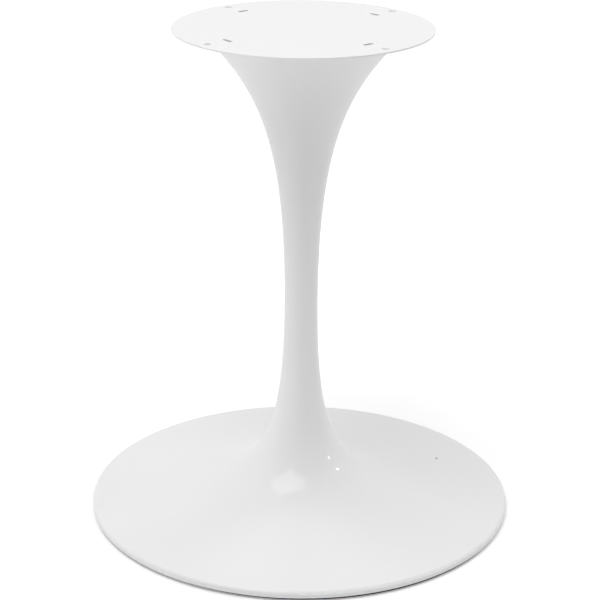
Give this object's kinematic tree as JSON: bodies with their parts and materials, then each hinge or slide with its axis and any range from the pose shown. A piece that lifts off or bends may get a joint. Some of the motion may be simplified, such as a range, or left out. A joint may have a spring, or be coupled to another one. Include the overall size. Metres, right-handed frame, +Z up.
{
  "type": "pedestal table base",
  "caption": "Trumpet-shaped pedestal table base: a slim waisted column flowing into a wide round foot, with a flat drilled plate on top for a table top.",
  "frame": {"origin": "on the floor, at the centre of the foot", "axes": "+Z up along the column's axis; the plate's holes are turned 40.5 degrees from +X towards +Y"},
  "size_m": [0.6179, 0.618, 0.72],
  "materials": {
    "white_paint": "smooth white powder coat, semi-gloss",
    "black_rubber": "matte"
  },
  "bodies": {
    "root": {"pedestal": "white_paint", "top_plate": "white_paint", "floor_ring": "black_rubber"}
  },
  "joints": []
}
